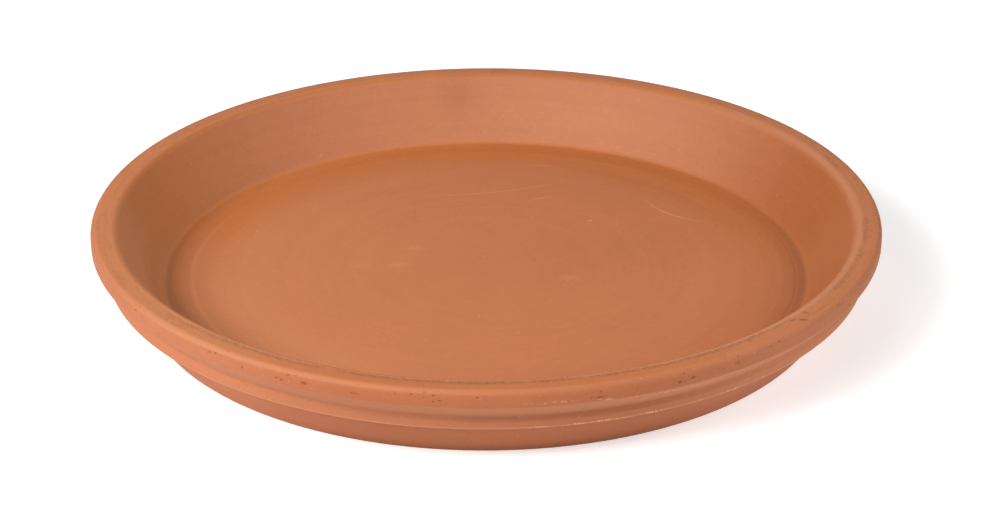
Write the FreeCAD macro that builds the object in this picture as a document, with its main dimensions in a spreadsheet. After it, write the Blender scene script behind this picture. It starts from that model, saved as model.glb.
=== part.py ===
import FreeCAD, Part
import os

import Sketcher

# Terracotta plant saucer: one thick-walled dish of fired clay, turned about +Z.
# Millimetres. The origin is the centre of the underside, where the dish stands.

# Driving dimensions: name, value, what it measures.
# A diameter and a height together give one corner of the cross-section.
DIMENSIONS = [
    ("outer_diameter", 350.0, "across the lip, the widest place"),
    ("overall_height", 38.9, "from the ground to the top of the lip"),
    ("base_diameter", 303.8, "the flat underside"),
    ("wall_head_diameter", 331.6, "top of the plain lower wall, under the band"),
    ("wall_head_height", 18.4, "height of that place"),
    ("band_diameter", 337.6, "the raised band below the lip"),
    ("band_foot_height", 19.1, "lower edge of the band"),
    ("band_crown_height", 22.2, "upper edge of the band"),
    ("neck_diameter", 335.4, "the shallow groove between the band and the lip"),
    ("neck_height", 24.1, "height of the groove"),
    ("lip_foot_diameter", 339.0, "lower edge of the slope under the lip"),
    ("lip_foot_height", 26.4, "height of that edge"),
    ("lip_face_height", 31.8, "where the slope meets the lip's upright face"),
    ("mouth_diameter", 327.9, "where the inner wall would meet the lip's flat top"),
    ("well_diameter", 289.0, "foot of the inner wall"),
    ("gutter_diameter", 277.6, "inner edge of the gutter at the wall's foot"),
    ("gutter_height", 9.4, "bottom of the gutter"),
    ("shelf_diameter", 275.8, "foot of the slope from the gutter up to the low ring"),
    ("shelf_height", 9.5, "height of that foot"),
    ("ring_outer_diameter", 264.4, "outer edge of the low ring around the floor"),
    ("ring_inner_diameter", 262.8, "inner edge of the low ring"),
    ("ring_height", 9.8, "top of the low ring"),
    ("floor_diameter", 257.0, "the flat floor"),
    ("floor_height", 9.7, "top of the floor"),
    ("rim_rounding", 3.0, "radius of the lip's outer top edge"),
    ("mouth_rounding", 4.2, "radius of the lip's inner top edge"),
    ("lip_softening", 1.4, "radius under the lip's upright face"),
    ("neck_softening", 1.4, "radius in the groove and at the slope's foot"),
    ("band_softening", 0.4, "radius of the band's two edges"),
    ("base_softening", 1.2, "radius of the foot of the wall"),
    ("well_softening", 4.0, "radius at the foot of the inner wall"),
]

SMALLEST_CUT = 1.0  # cubic millimetres that a groove or rounding has to change

document = FreeCAD.newDocument("plant_saucer")


def make_sheet():
    """Write the driving dimensions into a spreadsheet, one row each."""
    sheet = document.addObject("Spreadsheet::Sheet", "dimensions")
    for row, (name, value, meaning) in enumerate(DIMENSIONS, start=1):
        sheet.set(f"A{row}", meaning)
        sheet.set(f"B{row}", str(value))
        sheet.setAlias(f"B{row}", name)
    document.recompute()
    return sheet


def size(name):
    """A driving dimension as a number."""
    return float(getattr(sheet, name))


def corner_point(corner):
    """The place of a corner, given as (diameter name, height name); None means zero."""
    diameter, height = corner
    radius = size(diameter) / 2 if diameter else 0.0
    level = size(height) if height else 0.0
    return FreeCAD.Vector(radius, level, 0)


def origin_plane(body, role):
    """One of the body's own origin planes."""
    for feature in body.Origin.OriginFeatures:
        if feature.Role == role:
            return feature
    raise ValueError(f"{body.Label} has no {role}")


def bind(sketch, kind, corner_index, expression, name, value):
    """Hold one coordinate of a corner to the spreadsheet."""
    number = sketch.addConstraint(Sketcher.Constraint(kind, -1, 1, corner_index, 1, value))
    sketch.renameConstraint(number, name)
    sketch.setExpression(f"Constraints.{name}", expression)


def draw_section(body, name, corners):
    """Draw a closed half cross-section through the corners, fixed by the spreadsheet."""
    sketch = body.newObject("Sketcher::SketchObject", name)
    sketch.AttachmentSupport = [(origin_plane(body, "XZ_Plane"), "")]
    sketch.MapMode = "FlatFace"
    points = [corner_point(corner) for corner in corners]
    count = len(points)
    for index in range(count):
        sketch.addGeometry(Part.LineSegment(points[index], points[(index + 1) % count]))
    for index in range(count):
        following = (index + 1) % count
        sketch.addConstraint(Sketcher.Constraint("Coincident", index, 2, following, 1))
    for index, (diameter, height) in enumerate(corners):
        place = points[index]
        if diameter:
            bind(sketch, "DistanceX", index, f"dimensions.{diameter} / 2", f"radius_{index}", place.x)
        else:
            sketch.addConstraint(Sketcher.Constraint("PointOnObject", index, 1, -2))
        if height:
            bind(sketch, "DistanceY", index, f"dimensions.{height}", f"height_{index}", place.y)
        else:
            sketch.addConstraint(Sketcher.Constraint("PointOnObject", index, 1, -1))
    document.recompute()
    return sketch


def turn(body, kind, name, sketch):
    """Turn a section about the vertical axis, as clay (Revolution) or as a cut (Groove)."""
    feature = body.newObject(f"PartDesign::{kind}", name)
    feature.Profile = sketch
    feature.ReferenceAxis = (sketch, ["V_Axis"])
    feature.Angle = 360.0
    document.recompute()
    return feature


def circle_edges(shape, corners):
    """Names of the circular edges that lie on the given corners."""
    names = []
    for corner in corners:
        place = corner_point(corner)
        for number, edge in enumerate(shape.Edges, start=1):
            curve = edge.Curve
            if not isinstance(curve, Part.Circle):
                continue
            same_radius = abs(curve.Radius - place.x) < 1e-4
            same_height = abs(curve.Center.z - place.y) < 1e-4
            if same_radius and same_height:
                names.append(f"Edge{number}")
    if len(names) != len(corners):
        raise ValueError(f"{len(names)} edges found for {len(corners)} corners")
    return names


def round_corners(body, name, radius_name, corners):
    """Round the edges at the given corners, and check that the clay changed."""
    before = body.Tip.Shape
    base = body.Tip
    fillet = body.newObject("PartDesign::Fillet", name)
    fillet.Base = (base, circle_edges(before, corners))
    fillet.setExpression("Radius", f"dimensions.{radius_name}")
    document.recompute()
    check_change(name, before.Volume, fillet.Shape.Volume)


def check_change(name, before, after):
    """A feature that changes nothing is a fault."""
    print(f"{name}: {after - before:+.0f} mm3")
    if abs(after - before) < SMALLEST_CUT:
        raise ValueError(f"{name} changed nothing")


def make_saucer():
    """The whole dish: a turned blank, hollowed out, then every edge softened."""
    body = document.addObject("PartDesign::Body", "saucer")
    body.Label = "saucer"
    body.Placement = FreeCAD.Placement()

    wall_head = ("wall_head_diameter", "wall_head_height")
    band_foot = ("band_diameter", "band_foot_height")
    band_crown = ("band_diameter", "band_crown_height")
    neck = ("neck_diameter", "neck_height")
    lip_foot = ("lip_foot_diameter", "lip_foot_height")
    lip_face = ("outer_diameter", "lip_face_height")
    rim = ("outer_diameter", "overall_height")
    base_edge = ("base_diameter", None)
    outside = [
        (None, None),
        base_edge,
        wall_head,
        band_foot,
        band_crown,
        neck,
        lip_foot,
        lip_face,
        rim,
        (None, "overall_height"),
    ]
    blank_section = draw_section(body, "blank_section", outside)
    blank = turn(body, "Revolution", "blank", blank_section)

    mouth = ("mouth_diameter", "overall_height")
    well_foot = ("well_diameter", "gutter_height")
    inside = [
        (None, "floor_height"),
        ("floor_diameter", "floor_height"),
        ("ring_inner_diameter", "ring_height"),
        ("ring_outer_diameter", "ring_height"),
        ("shelf_diameter", "shelf_height"),
        ("gutter_diameter", "gutter_height"),
        well_foot,
        mouth,
        (None, "overall_height"),
    ]
    bowl_section = draw_section(body, "bowl_section", inside)
    bowl = turn(body, "Groove", "bowl", bowl_section)
    check_change("bowl", blank.Shape.Volume, bowl.Shape.Volume)

    round_corners(body, "rim_edge", "rim_rounding", [rim])
    round_corners(body, "mouth_edge", "mouth_rounding", [mouth])
    round_corners(body, "lip_edge", "lip_softening", [lip_face])
    round_corners(body, "neck_edges", "neck_softening", [neck, lip_foot])
    round_corners(body, "band_edges", "band_softening", [band_foot, band_crown])
    round_corners(body, "base_edge", "base_softening", [base_edge])
    round_corners(body, "well_edge", "well_softening", [well_foot])
    return body


def check_document():
    """Stop if any feature failed to compute."""
    for thing in document.Objects:
        failed = [state for state in thing.State if state in ("Invalid", "Error")]
        if failed:
            raise ValueError(f"{thing.Name} is {failed}")


def write_part(body):
    """Check the solid and write it under its label."""
    shape = body.Shape
    if shape.isNull() or not shape.isValid() or len(shape.Solids) != 1:
        raise ValueError(f"{body.Label} is not one valid solid")
    shape.exportStep(f"parts/{body.Label}.step")
    box = shape.optimalBoundingBox()
    print(f"{body.Label}: {box.XLength:.1f} x {box.YLength:.1f} x {box.ZLength:.1f} mm,"
          f" {shape.Volume / 1000:.0f} cm3")


sheet = make_sheet()
saucer = make_saucer()
document.recompute()
check_document()
os.makedirs("parts", exist_ok=True)
write_part(saucer)
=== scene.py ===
import math

import bpy
import numpy as np
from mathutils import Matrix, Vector


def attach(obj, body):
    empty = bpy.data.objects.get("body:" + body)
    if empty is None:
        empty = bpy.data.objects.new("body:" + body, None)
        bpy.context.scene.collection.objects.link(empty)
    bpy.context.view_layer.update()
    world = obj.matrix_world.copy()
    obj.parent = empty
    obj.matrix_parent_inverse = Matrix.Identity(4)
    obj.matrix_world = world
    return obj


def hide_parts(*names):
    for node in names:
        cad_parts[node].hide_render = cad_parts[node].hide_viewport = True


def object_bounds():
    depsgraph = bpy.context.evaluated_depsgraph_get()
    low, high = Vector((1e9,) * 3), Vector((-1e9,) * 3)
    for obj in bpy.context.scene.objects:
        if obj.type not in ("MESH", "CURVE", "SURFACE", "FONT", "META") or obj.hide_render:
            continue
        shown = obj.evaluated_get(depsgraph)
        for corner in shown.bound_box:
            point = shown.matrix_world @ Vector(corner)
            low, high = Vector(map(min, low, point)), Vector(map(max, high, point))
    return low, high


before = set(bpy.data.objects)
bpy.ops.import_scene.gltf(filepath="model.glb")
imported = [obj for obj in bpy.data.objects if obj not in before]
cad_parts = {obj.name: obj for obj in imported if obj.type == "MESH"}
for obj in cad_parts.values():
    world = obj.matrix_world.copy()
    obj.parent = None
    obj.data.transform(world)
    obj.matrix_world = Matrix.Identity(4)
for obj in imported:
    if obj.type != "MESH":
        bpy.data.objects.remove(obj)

# Terracotta plant saucer on a white studio table. The scene is in metres. The section, the
# marks and the places named in the material are in millimetres.

MM = 0.001
CAD_LOW, CAD_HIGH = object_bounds()
LIP_RADIUS = (CAD_HIGH.x - CAD_LOW.x) / 2
OUTER = round(LIP_RADIUS / MM, 3)  # the lip's radius in millimetres
TOP = round(CAD_HIGH.z / MM, 3)  # the height of the dish in millimetres
FLOOR = 9.7  # height of the flat floor inside the dish

# The half cross-section, from the middle of the underside round the outside to the middle
# of the floor: radius and height of each corner, and how far it is rounded, in millimetres.
# The step says how finely the stretch that ends at the corner is divided.
SECTION = [
    # radius, height, rounding, step
    (0.0, 0.0, 0.0, 0.0),  # middle of the underside
    (151.9, 0.0, 1.2, 10.0),  # edge of the base
    (165.8, 18.4, 0.0, 1.1),  # top of the lower wall
    (168.8, 19.1, 0.4, 0.7),  # lower edge of the band
    (168.8, 22.2, 0.4, 0.6),  # upper edge of the band
    (167.7, 24.1, 1.4, 0.6),  # neck
    (169.5, 26.4, 1.4, 0.6),  # foot of the slope under the lip
    (OUTER, 31.8, 1.4, 0.8),  # foot of the lip's upright face
    (OUTER, TOP, 3.0, 0.6),  # outer edge of the lip
    (163.95, TOP, 4.2, 0.8),  # mouth
    (144.5, 9.4, 4.0, 1.4),  # foot of the inner wall
    (138.8, 9.4, 0.6, 0.9),  # inner edge of the gutter
    (137.9, 9.5, 0.6, 0.5),  # outer edge of the shelf
    (132.2, 9.8, 0.8, 0.9),  # outer edge of the ring
    (131.4, 9.8, 0.8, 0.5),  # inner edge of the ring
    (128.5, FLOOR, 1.5, 0.8),  # edge of the flat floor
    (0.0, FLOOR, 0.0, 2.1),  # middle of the floor
]
AROUND = 400  # divisions of each circle
ARC_STEP = 0.5  # fineness of the rounded corners, in millimetres

# The slight unevenness of a thrown pot, in millimetres.
RIDGE_DEPTH = 0.018  # scale of the finger ridges on the floor
RIDGES_START = 30.0  # radius where the ridges reach their full depth
RIDGES_END = 130.0  # radius where they have faded out
RIDGES_FADE = 6.0  # width over which they fade out
WELL_RADIUS = 150.0  # the inside of the dish is nearer the middle than this
WELL_HEIGHT = 5.0  # and higher than this
LIP_DIP = 0.12  # how far the lip dips at two opposite places
LIP_PULL = 0.10  # how far the lip is drawn in at three places


def corner_arc(before, here, after, rounding):
    """Points along the arc that rounds the corner between two straight stretches."""
    back = before - here
    back /= np.linalg.norm(back)
    ahead = after - here
    ahead /= np.linalg.norm(ahead)
    half = math.acos(float(back @ ahead)) / 2
    middle = back + ahead
    centre = here + middle / np.linalg.norm(middle) * rounding / math.sin(half)
    first = here + back * rounding / math.tan(half) - centre
    last = here + ahead * rounding / math.tan(half) - centre
    turn = math.pi - 2 * half
    pieces = max(2, math.ceil(rounding * turn / ARC_STEP))
    arc = []
    for number in range(pieces + 1):
        share = number / pieces
        weight_first = math.sin((1 - share) * turn) / math.sin(turn)
        weight_last = math.sin(share * turn) / math.sin(turn)
        arc.append(centre + first * weight_first + last * weight_last)
    return arc


def rounded(corners):
    """The section as a fine chain of (radius, height), with its corners rounded as arcs."""
    places = [np.array(corner[:2]) for corner in corners]
    chain = [places[0]]
    for index in range(1, len(corners)):
        rounding, step = corners[index][2:]
        arc = [places[index]]
        if rounding:
            arc = corner_arc(places[index - 1], places[index], places[index + 1], rounding)
        start = chain[-1]
        stretch = arc[0] - start
        count = max(1, math.ceil(np.linalg.norm(stretch) / step))
        for number in range(1, count + 1):
            chain.append(start + stretch * number / count)
        chain.extend(arc[1:])
    return np.array(chain)


def turned(radius, height, angle):
    """A place on the dish with the slight unevenness of a thrown pot, in millimetres."""
    inside = radius < WELL_RADIUS and height > WELL_HEIGHT
    if inside:
        # finger ridges on the floor, drifting a little as they go round, none in the middle
        drift = 1.4 * math.sin(angle + 0.6)
        rise = min(1.0, radius / RIDGES_START)
        fall = min(1.0, max(0.0, (RIDGES_END - radius) / RIDGES_FADE))
        ridge = math.sin((radius + drift) / 1.9) + 0.7 * math.sin((radius - drift) / 3.1 + 1.0)
        height -= RIDGE_DEPTH * rise * fall * (1.7 + ridge)
    lift = height / TOP
    height -= LIP_DIP * lift * (1 - math.cos(2 * angle - 0.8)) / 2
    outward = min(1.0, radius / OUTER)
    radius -= LIP_PULL * lift * outward * (1 - math.cos(3 * angle + 0.5)) / 2
    return radius, height


def make_saucer():
    """The dish as one closed turned mesh."""
    chain = rounded(SECTION)
    rings = chain[1:-1]
    angles = np.arange(AROUND) * 2 * math.pi / AROUND
    points = [(0.0, 0.0, chain[0][1] * MM)]
    for ring_radius, ring_height in rings:
        for angle in angles:
            radius, height = turned(ring_radius, ring_height, angle)
            x = radius * math.cos(angle)
            y = radius * math.sin(angle)
            points.append((x * MM, y * MM, height * MM))
    points.append((0.0, 0.0, chain[-1][1] * MM))
    faces = []
    for number in range(AROUND):
        following = (number + 1) % AROUND
        faces.append((0, 1 + following, 1 + number))
    for ring in range(len(rings) - 1):
        low = 1 + ring * AROUND
        high = low + AROUND
        for number in range(AROUND):
            following = (number + 1) % AROUND
            faces.append((low + number, low + following, high + following, high + number))
    last = len(points) - 1
    top = 1 + (len(rings) - 1) * AROUND
    for number in range(AROUND):
        following = (number + 1) % AROUND
        faces.append((top + number, top + following, last))
    mesh = bpy.data.meshes.new("saucer_clay")
    mesh.from_pydata(points, [], faces)
    mesh.polygons.foreach_set("use_smooth", [True] * len(mesh.polygons))
    mesh.update()
    saucer = bpy.data.objects.new("saucer_clay", mesh)
    bpy.context.scene.collection.objects.link(saucer)
    return saucer


class Graph:
    """Short ways of adding nodes to a material."""

    def __init__(self, tree):
        self.tree = tree

    def node(self, kind, **settings):
        node = self.tree.nodes.new(kind)
        for name, value in settings.items():
            setattr(node, name, value)
        return node

    def put(self, socket, value):
        """Link a socket to another node's output, or set it to a plain value."""
        if isinstance(value, bpy.types.NodeSocket):
            self.tree.links.new(value, socket)
        else:
            socket.default_value = value

    def math(self, operation, *values):
        node = self.node("ShaderNodeMath", operation=operation)
        for socket, value in zip(node.inputs, values):
            self.put(socket, value)
        return node.outputs[0]

    def chained(self, operation, first, others):
        for other in others:
            first = self.math(operation, first, other)
        return first

    def product(self, first, *others):
        return self.chained("MULTIPLY", first, others)

    def total(self, first, *others):
        return self.chained("ADD", first, others)

    def strongest(self, first, *others):
        return self.chained("MAXIMUM", first, others)

    def less(self, value, taken):
        return self.math("SUBTRACT", value, taken)

    def gap(self, first, second):
        """How far apart two values are."""
        return self.math("ABSOLUTE", self.less(first, second))

    def join(self, x, y, z):
        node = self.node("ShaderNodeCombineXYZ")
        for socket, value in zip(node.inputs, (x, y, z)):
            self.put(socket, value)
        return node.outputs[0]

    def split(self, vector):
        node = self.node("ShaderNodeSeparateXYZ")
        self.put(node.inputs[0], vector)
        return node.outputs

    def noise(self, place, blob, detail=2.0, roughness=0.5, distortion=0.0):
        """Noise from 0 to 1 with blobs of the given size."""
        node = self.node("ShaderNodeTexNoise")
        self.put(node.inputs["Vector"], place)
        self.put(node.inputs["Scale"], 1.0 / blob)
        self.put(node.inputs["Detail"], detail)
        self.put(node.inputs["Roughness"], roughness)
        self.put(node.inputs["Distortion"], distortion)
        return node.outputs["Fac"]

    def fade(self, value, low, high, start=0.0, end=1.0):
        """A smooth change from start to end as the value goes from low to high."""
        node = self.node("ShaderNodeMapRange", interpolation_type="SMOOTHSTEP")
        for socket, number in zip(node.inputs, (value, low, high, start, end)):
            self.put(socket, number)
        return node.outputs[0]

    def fall(self, value, low, high):
        """A smooth change from 1 to 0 as the value goes from low to high."""
        return self.fade(value, low, high, 1.0, 0.0)

    def band(self, value, low, high, edge):
        """1 between low and high and 0 outside, with soft edges."""
        rise = self.fade(value, low - edge, low + edge)
        fall = self.fall(value, high - edge, high + edge)
        return self.product(rise, fall)

    def blend(self, factor, first, second, mode="MIX"):
        node = self.node("ShaderNodeMix", data_type="RGBA", blend_type=mode)
        self.put(node.inputs[0], factor)
        self.put(node.inputs[6], first)
        self.put(node.inputs[7], second)
        return node.outputs[2]


# Where the parts of the surface meet, each a soft step from one value to another.
WALL_FOOT = (142.6, 146.2)  # radius
WALL_TOP = (37.4, 38.4)  # height, as are the rest
LIP_TOP = (38.35, 38.7)
LIP_FACE_FOOT = (31.0, 32.2)
BAND_TOP = (23.6, 25.6)
BAND_FOOT = (18.6, 19.2)
WELL_BOTTOM = (10.5, 12.5)
# The line inside the clay that parts the inner surface from the outer one.
PARTING_RADIUS = 148.0  # at the underside
PARTING_SLOPE = 0.66  # outward for each millimetre up
STREAK_RADIUS = 165.0  # the radius at which a streak is as long as it is asked to be


class Clay(Graph):
    """The fired clay: its own coordinates and textures, and the colour painted on it so far."""

    def __init__(self, tree):
        super().__init__(tree)
        coordinates = self.node("ShaderNodeTexCoord").outputs["Object"]
        scaled = self.node("ShaderNodeVectorMath", operation="SCALE")
        self.put(scaled.inputs[0], coordinates)
        self.put(scaled.inputs["Scale"], 1 / MM)
        self.place = scaled.outputs[0]
        self.x, self.y, self.z = self.split(self.place)
        squares = self.total(self.product(self.x, self.x), self.product(self.y, self.y))
        self.radius = self.math("SQRT", squares)
        # the compass direction, so that nothing has a seam where an angle would jump
        self.east = self.math("DIVIDE", self.x, self.strongest(self.radius, 0.01))
        self.north = self.math("DIVIDE", self.y, self.strongest(self.radius, 0.01))
        self.run = self.total(self.radius, self.z)
        self.colour = None
        self.find_places()
        self.make_textures()

    def find_places(self):
        """Masks that are 1 on one part of the dish and 0 elsewhere."""
        parting = self.total(self.product(self.z, PARTING_SLOPE), PARTING_RADIUS)
        self.inside = self.fade(self.less(parting, self.radius), -1.5, 1.5)
        self.wall = self.product(
            self.inside, self.fade(self.radius, *WALL_FOOT), self.fall(self.z, *WALL_TOP))
        self.outside = self.less(1.0, self.inside)
        self.lip_top = self.fade(self.z, *LIP_TOP)
        self.lip_face = self.product(self.outside, self.fade(self.z, *LIP_FACE_FOOT))
        self.under = self.product(self.outside, self.fall(self.z, *LIP_FACE_FOOT))
        self.banded = self.product(self.outside, self.fall(self.z, *BAND_TOP))
        self.lower = self.product(self.outside, self.fall(self.z, *BAND_FOOT))
        self.well_bottom = self.product(self.inside, self.fall(self.z, *WELL_BOTTOM))
        self.west = self.fall(self.east, -0.6, 0.6)
        self.near = self.fall(self.north, -0.97, -0.75)
        self.near_side = self.fall(self.north, -0.80, -0.40)

    def make_textures(self):
        """Mottling from large to small, and lines left by turning."""
        self.patches = self.noise(self.place, 70.0, 3.0, 0.55, 0.4)
        self.blotches = self.noise(self.place, 14.0, 3.0, 0.6, 0.3)
        self.flecking = self.noise(self.place, 4.5, 2.0, 0.6)
        self.grain = self.noise(self.place, 1.6, 3.0, 0.7)
        out_from_middle = self.fade(self.radius, 15.0, 75.0)
        fine = self.total(self.streaks(1.1, 90.0), -0.5)
        self.fine_lines = self.total(0.5, self.product(fine, out_from_middle))
        broad = self.total(self.streaks(6.0, 260.0, 3.0, 40.0), -0.5)
        self.broad_lines = self.total(0.5, self.product(broad, out_from_middle))

    def streaks(self, width, length, detail=2.0, shift=0.0):
        """Noise drawn out round the dish, with streaks about as wide and as long as given."""
        reach = STREAK_RADIUS * width / length
        across = self.total(self.run, shift)
        place = self.join(self.product(self.east, reach), self.product(self.north, reach), across)
        return self.noise(place, width, detail, 0.55)

    def towards(self, east, north):
        """From -1 to 1, highest on the side that lies in the given direction."""
        return self.total(self.product(self.east, east), self.product(self.north, north))

    def mark(self, angle, radius, height, long_half, wide_half, tilt, bend, soft):
        """1 inside an oval spot or stroke on the surface and 0 outside it, with a soft edge.

        The spot is centred at an angle (degrees, from +X towards +Y), a radius and a height.
        Its long half lies along the turning direction, tilted by so many degrees, and bend
        is how far its ends curve, in half widths."""
        turn = math.radians(angle)
        centre = (radius * math.cos(turn), radius * math.sin(turn), height)
        node = self.node("ShaderNodeMapping", vector_type="TEXTURE")
        self.put(node.inputs["Vector"], self.place)
        self.put(node.inputs["Location"], centre)
        self.put(node.inputs["Rotation"], (0.0, 0.0, turn + math.pi / 2 + math.radians(tilt)))
        self.put(node.inputs["Scale"], (long_half, wide_half, wide_half))
        local = node.outputs[0]
        if bend:
            along, across, up = self.split(local)
            curve = self.product(self.product(along, along), bend)
            local = self.join(along, self.less(across, curve), up)
        length = self.node("ShaderNodeVectorMath", operation="LENGTH")
        self.put(length.inputs[0], local)
        return self.fall(length.outputs["Value"], 1.0 - soft, 1.0 + soft)

    def marks(self, rows):
        """The strongest of several marks, each a strength followed by the mark's own values."""
        shares = []
        for strength, *values in rows:
            shares.append(self.product(self.mark(*values), strength))
        return self.strongest(*shares)

    def paint(self, share, tone, strength=None):
        """Cover the colour so far with another, by a share from 0 to 1."""
        if strength is not None:
            share = self.product(share, strength)
        self.colour = self.blend(share, self.colour, tone)


# The clay's colour in each place, linear, some with painted light and painted sheen, and the colours of
# dirt, wear, painted shade and painted highlights.
FLOOR_CLAY = (0.410, 0.141, 0.060, 1)
FLOOR_CLAY_WARM = (0.426, 0.145, 0.060, 1)
# painted light: the floor's colour on its west side, lighter
FLOOR_CLAY_LIT_WEST = (0.450, 0.158, 0.066, 1)
FLOOR_CLAY_FAR = (0.428, 0.134, 0.041, 1)
# painted light: the floor's colour where the near lip's shadow falls, lighter
FLOOR_CLAY_LIT_PATCH = (0.472, 0.172, 0.074, 1)
WALL_CLAY = (0.366, 0.120, 0.044, 1)
WALL_CLAY_DEEP = (0.342, 0.105, 0.036, 1)
WALL_CLAY_WEST = (0.433, 0.157, 0.057, 1)
# painted sheen: the far wall's colour, paler and pinker
WALL_CLAY_FAR_SHEEN = (0.396, 0.147, 0.070, 1)
LIP_CLAY = (0.413, 0.149, 0.066, 1)
# painted light: the lip's colour on its west side, lighter
LIP_CLAY_LIT_WEST = (0.428, 0.158, 0.068, 1)
LIP_CLAY_NEAR = (0.404, 0.134, 0.051, 1)
FACE_CLAY = (0.355, 0.124, 0.056, 1)
FACE_CLAY_NEAR = (0.332, 0.105, 0.043, 1)
# the clay under the lip with a painted reflection of the white table, paler and bluer
UNDER_CLAY = (0.437, 0.167, 0.084, 1)
UNDER_CLAY_NEAR = (0.397, 0.151, 0.075, 1)
BAND_CLAY = (0.371, 0.132, 0.062, 1)
BAND_CLAY_NEAR = (0.342, 0.121, 0.057, 1)
LOWER_CLAY = (0.384, 0.128, 0.056, 1)
LOWER_CLAY_NEAR = (0.330, 0.104, 0.043, 1)
# dark for soil, and for painted shade in the gutter
GRIME_AND_SHADE = (0.095, 0.052, 0.032, 1)
# dark for dirt and painted contact shade at the foot
FOOT_DIRT_AND_SHADE = (0.100, 0.026, 0.009, 1)
PIT_DARK = (0.070, 0.022, 0.012, 1)
PIT_RED = (0.140, 0.030, 0.012, 1)
# pale for dust and wear, and for painted highlights and painted sheen
DUST_AND_SHEEN_PALE = (0.66, 0.35, 0.20, 1)
# pale for painted sheen and painted highlights, and for rubbing
SHEEN_AND_RUB_PALE = (0.66, 0.40, 0.29, 1)
CHIP_PALE = (0.80, 0.49, 0.27, 1)
SHEEN_LEVEL = 0.15
ROUGHNESS = 0.60
# Relief and the distance between pits, in millimetres.
GRAIN_RELIEF = 0.05
LINE_RELIEF = 0.03
PIT_DEPTH = 0.25
PIT_SPACING = 2.8

# Marks of use, and a painted sheen on the wall: strength, angle, radius, height, half length, half width,
# tilt, bend, softness.
SCRATCHES = [
    (0.9, 33, 103, FLOOR, 16.5, 0.5, 14, -6.5, 0.7),
    (0.45, 87, 82.5, FLOOR, 30, 0.6, 17, -5, 0.8),
    (0.4, 71, 79, FLOOR, 5, 0.7, 45, 0, 0.8),
    (0.4, 76, 118, FLOOR, 3.5, 1, -5, 0, 0.8),
    (0.3, 180, 57, FLOOR, 3.5, 2, -90, 0, 1),
    (0.3, 179, 39.5, FLOOR, 4, 2, -90, 0, 1),
    (0.3, 149, 37.5, FLOOR, 3.5, 2, -60, 0, 1),
    (0.3, -20, 38.5, FLOOR, 3.5, 2, -70, 0, 1),
    (1, 45, 68.5, FLOOR, 1, 1.2, 0, 0, 0.5),
]
DENTS = [
    (1, -41.5, 171.5, TOP, 2, 0.6, -50, 0, 0.6),
    (0.9, -42.5, 168.5, TOP, 1.3, 0.5, -20, 0, 0.6),
    (0.8, -39.5, 168.5, TOP, 1.6, 0.5, -75, 0, 0.7),
    (0.7, -129, OUTER, 36.5, 0.9, 0.6, 0, 0, 0.6),
    (0.9, -114, OUTER, 35, 1.3, 0.6, 0, 0, 0.6),
    (0.7, -107, OUTER, 34.5, 1.9, 0.5, 0, 0, 0.7),
    (0.8, -75.5, OUTER, 33.5, 1.7, 0.5, 0, 0, 0.6),
    (1, -64.5, OUTER, 34, 0.8, 0.6, 0, 0, 0.6),
    (0.8, -62.5, OUTER, 34.5, 1.2, 0.5, 0, 0, 0.6),
    (0.7, -55.5, OUTER, 35, 1.2, 0.6, 0, 0, 0.6),
]
# a painted sheen: a broad pale spot on the far wall, right of the middle
WALL_SHEEN_SPOT = [
    (1, 70, 154, 24, 50, 20, 0, 0, 0.95),
]
SMUDGES = [
    (1, 95, 158.5, 30, 9, 11, 0, 0, 0.95),
]


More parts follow.
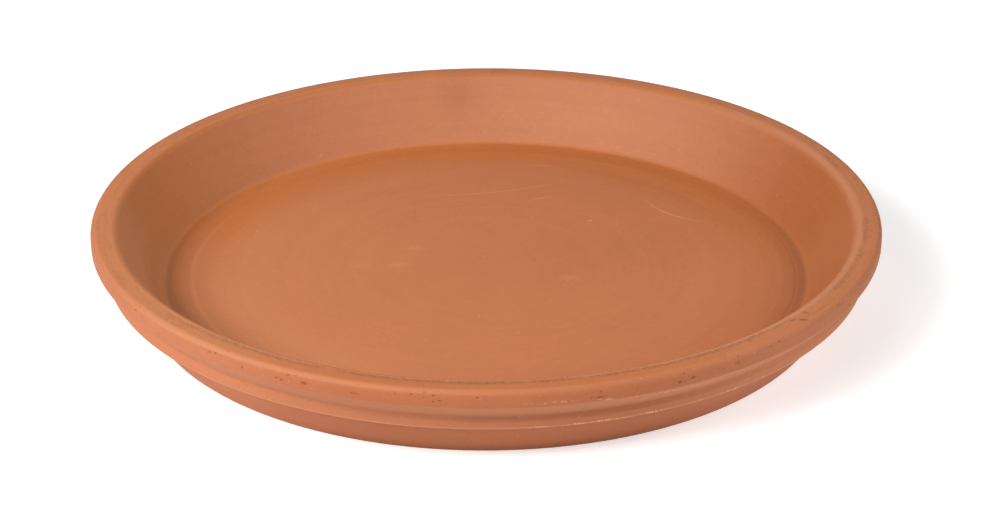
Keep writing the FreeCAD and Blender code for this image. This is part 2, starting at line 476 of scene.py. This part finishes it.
def paint_clay(clay):
    """The clay's colour on each part of the dish, with painted light on its west side and in the near
    lip's shadow, painted sheen on the far wall and under the lip, and its mottling.
    """
    clay.colour = clay.blend(clay.fade(clay.patches, 0.35, 0.65), FLOOR_CLAY, FLOOR_CLAY_WARM)
    # painted light: the floor lighter towards the west, the side the key light comes from
    lit_west_side = clay.fade(clay.less(clay.product(clay.y, 0.3), clay.x), -100.0, 150.0)
    clay.paint(lit_west_side, FLOOR_CLAY_LIT_WEST)
    far_edge = clay.product(clay.fade(clay.radius, 106.0, 132.0), clay.fade(clay.north, -0.1, 0.4))
    clay.paint(far_edge, FLOOR_CLAY_FAR)
    # painted light: the floor lighter at the south-west, over the shadow cast by the near lip
    south_west = clay.fade(clay.towards(-0.77, -0.64), 0.75, 0.97)
    clay.paint(clay.product(clay.fade(clay.radius, 85.0, 120.0), south_west), FLOOR_CLAY_LIT_PATCH)

    wall_colour = clay.blend(clay.west, WALL_CLAY, WALL_CLAY_WEST)
    east_end = clay.fade(clay.towards(0.93, 0.37), 0.91, 0.99)
    wall_colour = clay.blend(east_end, wall_colour, WALL_CLAY_DEEP)
    # painted sheen: the far wall paler and pinker towards the north
    wall_colour = clay.blend(clay.fade(clay.north, 0.3, 0.85), wall_colour, WALL_CLAY_FAR_SHEEN)
    # painted sheen: a pale band high on the west end of the wall
    west_end = clay.fade(clay.towards(-0.97, -0.26), 0.92, 0.995)
    west_sheen = clay.product(west_end, clay.fade(clay.z, 12.0, 28.0), 0.12)
    wall_colour = clay.blend(west_sheen, wall_colour, SHEEN_AND_RUB_PALE)
    clay.paint(clay.wall, wall_colour)

    clay.paint(clay.lip_face, clay.blend(clay.near, FACE_CLAY, FACE_CLAY_NEAR))
    # painted light: the lip top lighter towards the west, the side the key light comes from
    lip_colour = clay.blend(clay.west, LIP_CLAY, LIP_CLAY_LIT_WEST)
    clay.paint(clay.lip_top, clay.blend(clay.near, lip_colour, LIP_CLAY_NEAR))
    # clay colour with a painted reflection: the faces under the lip paler and bluer
    clay.paint(clay.under, clay.blend(clay.near, UNDER_CLAY, UNDER_CLAY_NEAR))
    clay.paint(clay.banded, clay.blend(clay.near, BAND_CLAY, BAND_CLAY_NEAR))
    band_and_neck = clay.product(clay.outside, clay.band(clay.z, 19.3, 26.0, 0.5))
    clay.paint(clay.product(band_and_neck, clay.fade(clay.east, 0.3, 0.6)), DUST_AND_SHEEN_PALE, strength=0.06)
    clay.paint(clay.lower, clay.blend(clay.near, LOWER_CLAY, LOWER_CLAY_NEAR))

    mottling = (
        (clay.patches, 0.06),
        (clay.blotches, 0.05),
        (clay.flecking, 0.08),
        (clay.grain, 0.20),
        (clay.fine_lines, 0.08),
        (clay.broad_lines, 0.11),
    )
    shade = 1.0 - sum(strength for layer, strength in mottling) / 2
    for layer, strength in mottling:
        shade = clay.total(shade, clay.product(layer, strength))
    clay.colour = clay.blend(1.0, clay.colour, clay.join(shade, shade, shade), "MULTIPLY")


def paint_chips(clay):
    """Pale chips at the front right, along the band's lower edge and under the lip."""
    broken = clay.fade(clay.noise(clay.place, 1.1, 2.0, 0.6), 0.46, 0.60)
    right = clay.fade(clay.east, 0.05, 0.16)
    front = clay.fade(clay.north, -0.80, -0.45, 1.0, 0.2)
    line_height = clay.fade(clay.east, 0.1, 0.6, 33.2, 27.8)
    on_line = clay.product(clay.fall(clay.gap(clay.z, line_height), 0.3, 1.1), 0.8)
    edge_wear = clay.strongest(clay.band(clay.z, 19.1, 19.8, 0.3), on_line)
    streaked = clay.fade(clay.streaks(1.5, 10.0, 3.0, 20.0), 0.46, 0.57)
    chips = clay.product(clay.outside, clay.product(right, front), edge_wear, streaked, broken)
    clay.paint(chips, CHIP_PALE, strength=0.52)


def paint_wear(clay):
    """Scratches, flecks, rubbed edges, dust, painted highlights and painted sheen, all paler than the
    clay.
    """
    scratched = clay.product(clay.marks(SCRATCHES), clay.fade(clay.grain, 0.3, 0.6, 0.4, 1.0))
    clay.paint(scratched, DUST_AND_SHEEN_PALE, strength=0.40)
    flecks = clay.fade(clay.noise(clay.place, 1.3, 1.0, 0.5), 0.73, 0.79)
    clay.paint(flecks, DUST_AND_SHEEN_PALE, strength=0.25)
    # painted sheen: a broad pale spot on the far right of the wall
    clay.paint(clay.product(clay.marks(WALL_SHEEN_SPOT), clay.wall), DUST_AND_SHEEN_PALE, strength=0.08)
    paint_chips(clay)

    # wear and a painted highlight: a pale line along the band's lower edge
    band_edge_wear_and_highlight = clay.product(clay.outside, clay.band(clay.z, 19.0, 19.6, 0.25))
    clay.paint(band_edge_wear_and_highlight, DUST_AND_SHEEN_PALE, strength=0.22)
    # painted highlight: a pale band on the lip's outer edge, strongest at the front left where the key
    # light glints
    lip_edge_highlight = clay.product(clay.band(clay.z, 37.3, 38.4, 0.4), clay.fade(clay.radius, 171.5, 173.0))
    front_left_glint = clay.fade(clay.towards(-0.50, -0.87), 0.80, 0.99, 0.05, 0.16)
    clay.paint(clay.product(lip_edge_highlight, front_left_glint), DUST_AND_SHEEN_PALE)

    # painted highlight: a thin pale line along the mouth's inner edge on the near side, broken into
    # streaks
    mouth_highlight = clay.product(clay.band(clay.radius, 165.3, 166.5, 0.4), clay.fade(clay.z, 37.6, 38.2))
    streaked = clay.fade(clay.streaks(2.0, 60.0, 2.0, 30.0), 0.35, 0.6, 0.08, 0.17)
    clay.paint(clay.product(mouth_highlight, clay.near_side, streaked), SHEEN_AND_RUB_PALE)
    mouth = clay.product(
        clay.inside, clay.fade(clay.z, 35.0, 36.5), clay.band(clay.radius, 162.4, 166.8, 0.8))
    clay.paint(clay.product(mouth, clay.fade(clay.east, 0.5, 0.9)), SHEEN_AND_RUB_PALE, strength=0.10)

    wall_foot = clay.product(clay.inside, clay.band(clay.radius, 143.5, 147.5, 1.5))
    foot_dust = clay.product(wall_foot, clay.fall(clay.east, -0.9, -0.5), clay.fall(clay.north, -0.1, 0.4))
    clay.paint(foot_dust, DUST_AND_SHEEN_PALE, strength=0.11)
    ring = clay.product(clay.well_bottom, clay.band(clay.radius, 131.2, 133.0, 1.0))
    ring_share = clay.product(clay.fall(clay.north, 0.1, 0.6), clay.fade(clay.east, -0.5, 0.5, 0.12, 0.04))
    clay.paint(clay.product(ring, ring_share), DUST_AND_SHEEN_PALE)


def paint_soil(clay):
    """Soil on the lip, soil and painted shade in the gutter and its crease, and the smudge. Returns the
    soil on the lip.
    """
    line_radius = clay.fade(clay.north, -0.9, -0.3, 167.2, 167.8)
    on_line = clay.fall(clay.gap(clay.radius, line_radius), 0.3, 2.3)
    specks = clay.fade(clay.streaks(1.2, 5.0, 3.0, 7.0), 0.42, 0.66)
    patches = clay.fade(clay.streaks(4.0, 22.0, 3.0, 80.0), 0.40, 0.62)
    reach = clay.fade(clay.north, -0.95, -0.65, 168.2, 172.4)
    within_reach = clay.fall(clay.less(clay.radius, reach), -1.2, 0.8)
    zone = clay.product(clay.fade(clay.radius, 166.2, 167.4), within_reach)
    line_side = clay.strongest(
        clay.fall(clay.north, -0.8, -0.5),
        clay.fade(clay.east, 0.7, 0.9, 0.0, 0.8))
    smears = clay.product(clay.near, clay.strongest(
        clay.band(clay.east, -0.11, 0.08, 0.04),
        clay.band(clay.east, 0.25, 0.42, 0.05)))
    line_share = clay.strongest(clay.fade(patches, 0.0, 1.0, 0.1, 0.85), smears)
    edge_line = clay.product(on_line, line_share, line_side)
    back_dust = clay.product(
        clay.band(clay.radius, 170.8, 174.5, 0.7), clay.fade(clay.north, 0.0, 0.5), 0.40)
    scattered = clay.product(clay.fade(specks, 0.0, 1.0, 0.35, 1.0), patches, zone, 0.62)
    speckle = clay.fade(clay.noise(clay.place, 1.1, 3.0, 0.7), 0.40, 0.62, 0.12, 1.0)
    soil = clay.product(clay.strongest(edge_line, back_dust, scattered), clay.lip_top, speckle)
    clay.paint(soil, GRIME_AND_SHADE, strength=0.55)

    # soil and painted shade: the gutter and the crease darker, mostly on the near half
    gutter = clay.product(clay.well_bottom, clay.band(clay.radius, 139.5, 143.5, 1.2))
    crease = clay.product(clay.well_bottom, clay.band(clay.radius, 138.1, 138.7, 0.5))
    settled = clay.fade(clay.streaks(4.0, 120.0, 2.0, 60.0), 0.3, 0.6, 0.5, 1.0)
    near_half = clay.fade(clay.north, 0.1, 0.6, 1.0, 0.05)
    clay.paint(clay.product(clay.strongest(gutter, crease), settled, near_half), GRIME_AND_SHADE, strength=0.15)
    clay.paint(clay.marks(SMUDGES), GRIME_AND_SHADE, strength=0.14)
    return soil


def paint_pits(clay):
    """Small pits and dents, most of them on the lip's face. Returns the pits."""
    cells = clay.node("ShaderNodeTexVoronoi")
    ragged = clay.product(clay.noise(clay.place, 0.9, 1.0), 1.4)
    across = clay.total(clay.x, ragged)
    up = clay.total(clay.product(clay.z, 1.7), ragged)
    clay.put(cells.inputs["Vector"], clay.join(across, clay.y, up))
    clay.put(cells.inputs["Scale"], 1 / PIT_SPACING)
    picked = clay.fade(clay.split(cells.outputs["Color"])[0], 0.42, 0.66)
    clusters = clay.fade(clay.noise(clay.place, 16.0, 1.0), 0.42, 0.56, 0.12, 1.0)
    middles = clay.fall(cells.outputs["Distance"], 0.07, 0.27)
    on_face = clay.product(clay.lip_face, clay.fade(clay.z, 32.5, 34.0), 0.95)
    share = clay.total(on_face, clay.product(clay.lip_top, 0.3), 0.08)
    pits = clay.product(picked, clusters, middles, share)
    uneven = clay.fade(clay.noise(clay.place, 0.8, 1.0), 0.35, 0.55, 0.3, 1.0)
    dents = clay.product(clay.marks(DENTS), uneven)
    clay.paint(pits, PIT_RED, strength=0.55)
    clay.paint(dents, PIT_DARK, strength=0.75)
    return pits


def paint_foot(clay):
    """Dirt and painted contact shade at the foot of the outer wall, strongest at the front."""
    foot = clay.product(clay.outside, clay.fall(clay.z, 0.0, 7.0))
    front = clay.fade(clay.north, -0.98, -0.80, 1.0, 0.1)
    uneven = clay.fade(clay.streaks(3.0, 20.0), 0.3, 0.7, 0.6, 1.0)
    # dirt and painted contact shade: darker towards the bottom of the outer wall
    clay.paint(clay.product(foot, front, uneven), FOOT_DIRT_AND_SHADE, strength=0.35)


def terracotta():
    """Fired clay: mottled, faintly lined by turning, dusty on the lip, worn and pitted, with painted
    light, shade, highlights and sheen in places.
    """
    material = bpy.data.materials.new("terracotta")
    material.use_nodes = True
    shader = material.node_tree.nodes["Principled BSDF"]
    clay = Clay(material.node_tree)
    paint_clay(clay)
    paint_wear(clay)
    soil = paint_soil(clay)
    pits = paint_pits(clay)
    paint_foot(clay)
    clay.put(shader.inputs["Base Color"], clay.colour)

    rough = clay.total(
        ROUGHNESS,
        clay.product(clay.blotches, 0.16),
        clay.product(clay.grain, 0.12),
        clay.product(soil, 0.2),
        clay.product(pits, 0.2),
    )
    clay.put(shader.inputs["Roughness"], rough)
    shader.inputs["Specular IOR Level"].default_value = SHEEN_LEVEL

    relief = clay.total(
        clay.product(clay.grain, GRAIN_RELIEF),
        clay.product(clay.fine_lines, LINE_RELIEF),
        clay.product(pits, -PIT_DEPTH),
    )
    bump = clay.node("ShaderNodeBump")
    clay.put(bump.inputs["Height"], relief)
    clay.put(bump.inputs["Distance"], MM)
    clay.put(bump.inputs["Strength"], 1.0)
    clay.put(shader.inputs["Normal"], bump.outputs[0])
    return material


TABLE_REACH = 1.4
TABLE_SIDES = 96
TABLE_WHITE = (0.72, 0.72, 0.72, 1)
TABLE_GLOW = 0.42  # keeps the table as white as the surround


def make_table():
    """The white table, a large disc."""
    mesh = bpy.data.meshes.new("floor")
    edge = []
    for number in range(TABLE_SIDES):
        angle = 2 * math.pi * number / TABLE_SIDES
        edge.append((TABLE_REACH * math.cos(angle), TABLE_REACH * math.sin(angle), 0.0))
    mesh.from_pydata(edge, [], [tuple(range(TABLE_SIDES))])
    table = bpy.data.objects.new("floor", mesh)
    bpy.context.scene.collection.objects.link(table)
    material = bpy.data.materials.new("floor_white")
    material.use_nodes = True
    shader = material.node_tree.nodes["Principled BSDF"]
    shader.inputs["Base Color"].default_value = TABLE_WHITE
    shader.inputs["Roughness"].default_value = 0.7
    shader.inputs["Emission Color"].default_value = (1, 1, 1, 1)
    shader.inputs["Emission Strength"].default_value = TABLE_GLOW
    mesh.materials.append(material)


CAMERA_ELEVATION = 25.80  # degrees
CAMERA_DISTANCE = 6.5 * LIP_RADIUS
CAMERA_AIM = Vector((0.00607, 0.0, 0.01235))
SENSOR_WIDTH = 36.0  # millimetres, as is the lens
LENS = 90.48


def make_camera():
    """A camera in front of the dish, looking down at it."""
    data = bpy.data.cameras.new("camera")
    data.sensor_width = SENSOR_WIDTH
    data.lens = LENS
    camera = bpy.data.objects.new("camera", data)
    bpy.context.scene.collection.objects.link(camera)
    elevation = math.radians(CAMERA_ELEVATION)
    back = Vector((0.0, -math.cos(elevation), math.sin(elevation)))
    camera.location = back * CAMERA_DISTANCE
    camera.rotation_mode = "QUATERNION"
    camera.rotation_quaternion = (CAMERA_AIM - camera.location).to_track_quat("-Z", "Y")
    bpy.context.scene.camera = camera


LIGHT_DISTANCE = 1.7
LIGHT_SIZE = 0.9
LIGHTS = [
    # name, azimuth, elevation, power in watts, whether it shines in glossy reflections
    ("key", -55, 36, 33, True),
    ("key_soft", -35, 42, 9, True),
    ("fill", 55, 35, 15, True),
    ("side", 95, 25, 5.5, True),
    ("rim_light", 180, 12, 14.5, False),
]


def make_light(name, azimuth, elevation, power, in_gloss):
    """A round soft light. Azimuth 0 is behind the camera and 90 is on the right."""
    data = bpy.data.lights.new(name, "AREA")
    data.shape = "DISK"
    data.size = LIGHT_SIZE
    data.energy = power
    light = bpy.data.objects.new(name, data)
    bpy.context.scene.collection.objects.link(light)
    a = math.radians(azimuth)
    e = math.radians(elevation)
    back = Vector((math.sin(a) * math.cos(e), -math.cos(a) * math.cos(e), math.sin(e)))
    light.location = back * LIGHT_DISTANCE
    light.rotation_mode = "QUATERNION"
    light.rotation_quaternion = (-back).to_track_quat("-Z", "Y")
    light.visible_camera = False
    light.visible_glossy = in_gloss


def make_world():
    """A white surround for the camera to see, which lights nothing."""
    world = bpy.data.worlds.new("studio")
    world.use_nodes = True
    background = world.node_tree.nodes["Background"]
    background.inputs["Color"].default_value = (1, 1, 1, 1)
    background.inputs["Strength"].default_value = 1.0
    world.cycles_visibility.diffuse = False
    world.cycles_visibility.glossy = False
    bpy.context.scene.world = world


bpy.context.scene.view_settings.view_transform = "Standard"
make_camera()
make_world()
make_table()
for light_values in LIGHTS:
    make_light(*light_values)
saucer = make_saucer()
saucer.data.materials.append(terracotta())
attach(saucer, "root")
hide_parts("saucer")
